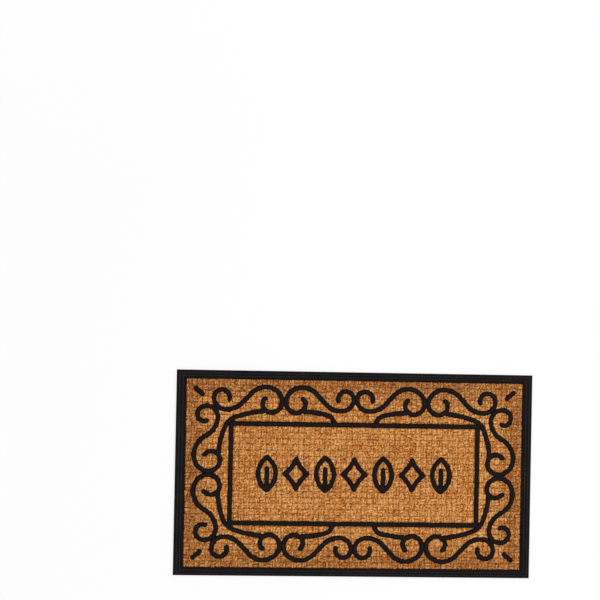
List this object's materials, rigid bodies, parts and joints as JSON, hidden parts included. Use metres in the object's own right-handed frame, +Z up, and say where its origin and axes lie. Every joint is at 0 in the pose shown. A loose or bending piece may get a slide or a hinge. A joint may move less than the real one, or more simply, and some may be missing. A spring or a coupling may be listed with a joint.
{
  "type": "door mat",
  "caption": "Rectangular coir door mat in a black rubber tray with a ribbed border, a raised inner frame, scrollwork and a row of leaf and lozenge motifs.",
  "frame": {"origin": "on the floor under the middle of the mat", "axes": "+X along the mat's length to the right, +Y across it to the rear, +Z up from the floor through the weave"},
  "size_m": [0.7, 0.4, 0.009],
  "materials": {
    "backing_rubber": "matte moulded recycled rubber with a fine anti-slip texture",
    "border_rubber": "satin-matte moulded rubber, black",
    "bead_rubber": "matte moulded rubber, black, slightly worn crest",
    "woven_coir": "rough golden-brown coconut fibre yarn in a basket weave"
  },
  "bodies": {
    "root": {"rubber_backing": "backing_rubber", "border_frame": "border_rubber", "coir_matting": "woven_coir", "inner_frame": "bead_rubber", "rear_right_outer_scroll": "bead_rubber", "rear_right_inner_scroll": "bead_rubber", "rear_right_end_scroll": "bead_rubber", "rear_right_corner_link": "bead_rubber", "rear_right_stem": "bead_rubber", "rear_right_corner_dash": "bead_rubber", "rear_left_outer_scroll": "bead_rubber", "rear_left_inner_scroll": "bead_rubber", "rear_left_end_scroll": "bead_rubber", "rear_left_corner_link": "bead_rubber", "rear_left_stem": "bead_rubber", "rear_left_corner_dash": "bead_rubber", "front_right_outer_scroll": "bead_rubber", "front_right_inner_scroll": "bead_rubber", "front_right_end_scroll": "bead_rubber", "front_right_corner_link": "bead_rubber", "front_right_stem": "bead_rubber", "front_right_corner_dash": "bead_rubber", "front_left_outer_scroll": "bead_rubber", "front_left_inner_scroll": "bead_rubber", "front_left_end_scroll": "bead_rubber", "front_left_corner_link": "bead_rubber", "front_left_stem": "bead_rubber", "front_left_corner_dash": "bead_rubber", "far_left_leaf": "bead_rubber", "left_lozenge": "bead_rubber", "left_leaf": "bead_rubber", "middle_lozenge": "bead_rubber", "right_leaf": "bead_rubber", "right_lozenge": "bead_rubber", "far_right_leaf": "bead_rubber"}
  },
  "joints": []
}
